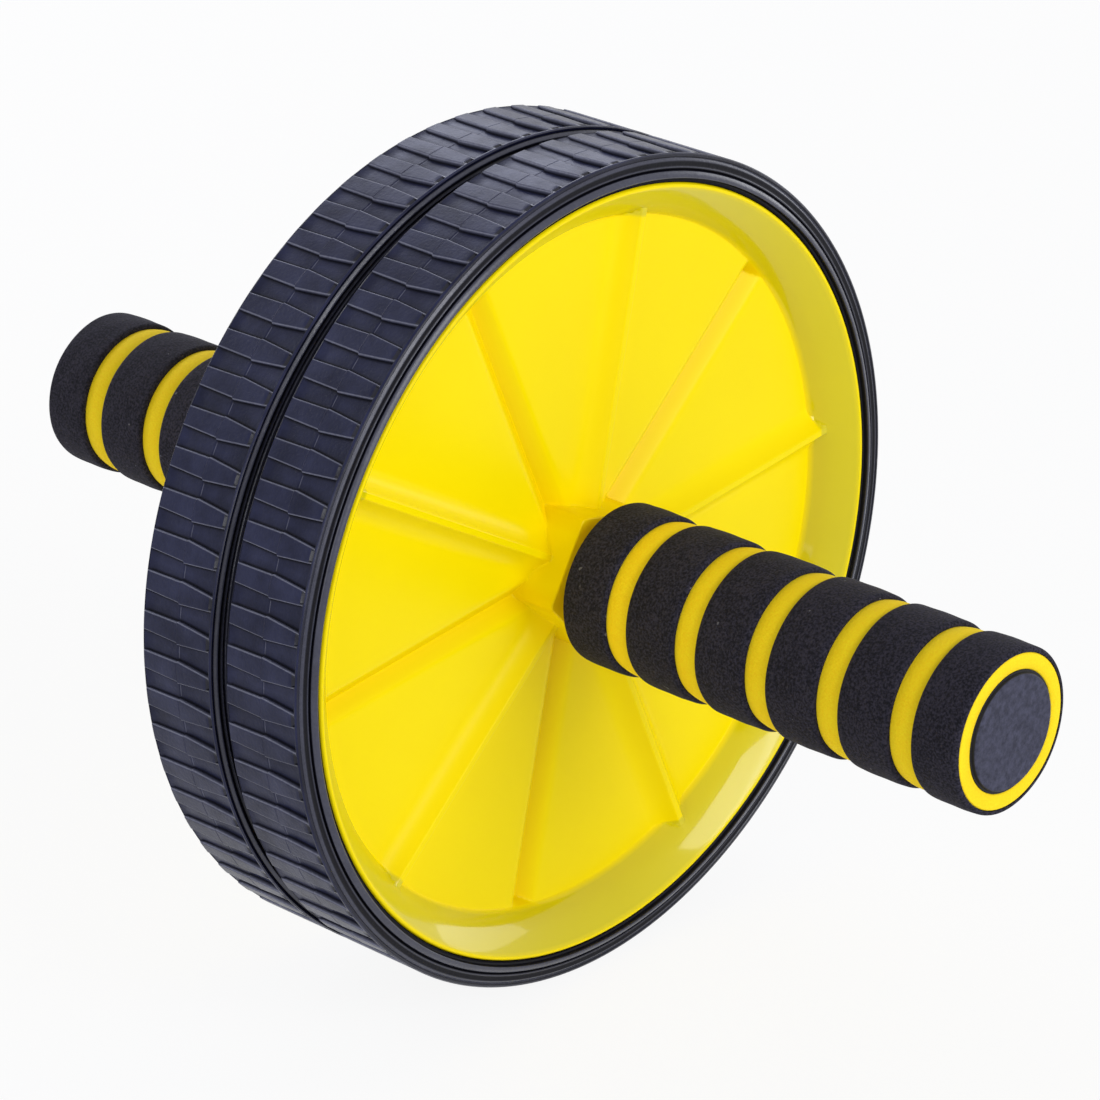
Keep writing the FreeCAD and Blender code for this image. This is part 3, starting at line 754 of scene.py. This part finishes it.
def makeFloor():
    half, level = stageSet["floorHalf"], stageSet["floorAt"]
    mesh = bpy.data.meshes.new("floor")
    corners = [(-half, -half, level), (half, -half, level), (half, half, level), (-half, half, level)]
    mesh.from_pydata(corners, [], [(0, 1, 2, 3)])
    at, finish = newMaterial("floorPaint", Roughness=0.9, Specular_IOR_Level=0.1)
    shade = stageSet["floorShade"]
    paler = shade + stageSet["floorPatch"]
    paint = finish(Base_Color=at.noise(3.0).tint(colour(shade, shade, shade), colour(paler, paler, paler)))
    # seen or mirrored, the floor is mostly white of its own, and keeps a share of the shadow
    seen = seenRays(at.add("LightPath", None, None, "Is Camera Ray"))
    lit = Wire(at.tree, at.tree.nodes["Principled BSDF"].outputs[0])
    white = at.add("Emission", None, {"Color": colour(1.0, 1.0, 1.0), "Strength": 1.0})
    mixed = at.add("MixShader", None, {0: seen * stageSet["floorWhite"], 1: lit, 2: white})
    at.tree.links.new(mixed.socket, at.tree.nodes["Material Output"].inputs["Surface"])
    mesh.materials.append(paint)
    floor = bpy.data.objects.new("floor", mesh)
    bpy.context.scene.collection.objects.link(floor)


def makeSky():
    # even white: at full strength where it is seen or mirrored, lower where it only lights
    world = bpy.data.worlds.new("studio")
    world.use_nodes = True
    tree = world.node_tree
    seen = seenRays(Wire(tree, tree.nodes.new("ShaderNodeLightPath").outputs["Is Camera Ray"]))
    level = stageSet["skyLevel"]
    strength = level + (1 - level) * seen
    tree.links.new(strength.socket, tree.nodes["Background"].inputs["Strength"])
    tree.nodes["Background"].inputs["Color"].default_value = colour(1.0, 1.0, 1.0)
    bpy.context.scene.world = world


def makeLamp(name, place, width, height, watts, tone):
    data = bpy.data.lights.new(name, "AREA")
    data.shape = "RECTANGLE"
    data.size, data.size_y = width, height
    data.energy = watts
    data.color = tone
    lamp = bpy.data.objects.new(name, data)
    lamp.location = place
    lamp.rotation_euler = (-Vector(place)).to_track_quat("-Z", "Y").to_euler()
    bpy.context.scene.collection.objects.link(lamp)


cameraSet = {
    "place": (-0.7004, -0.6485, 0.4357),
    "look": (0.6709, 0.6140, -0.4160),
    "lens": 163.64,
    "sensor": 36.0,
    "clipStart": 0.05,
}


def makeCamera():
    data = bpy.data.cameras.new("camera")
    data.lens = cameraSet["lens"]
    data.sensor_width = cameraSet["sensor"]
    data.clip_start = cameraSet["clipStart"]
    camera = bpy.data.objects.new("camera", data)
    camera.location = cameraSet["place"]
    camera.rotation_euler = Vector(cameraSet["look"]).to_track_quat("-Z", "Y").to_euler()
    bpy.context.scene.collection.objects.link(camera)
    bpy.context.scene.camera = camera


makeFloor()
makeSky()
for lamp in stageSet["lamps"]:
    makeLamp(*lamp)
makeCamera()
bpy.context.scene.view_settings.view_transform = "Standard"
print("stage ready")
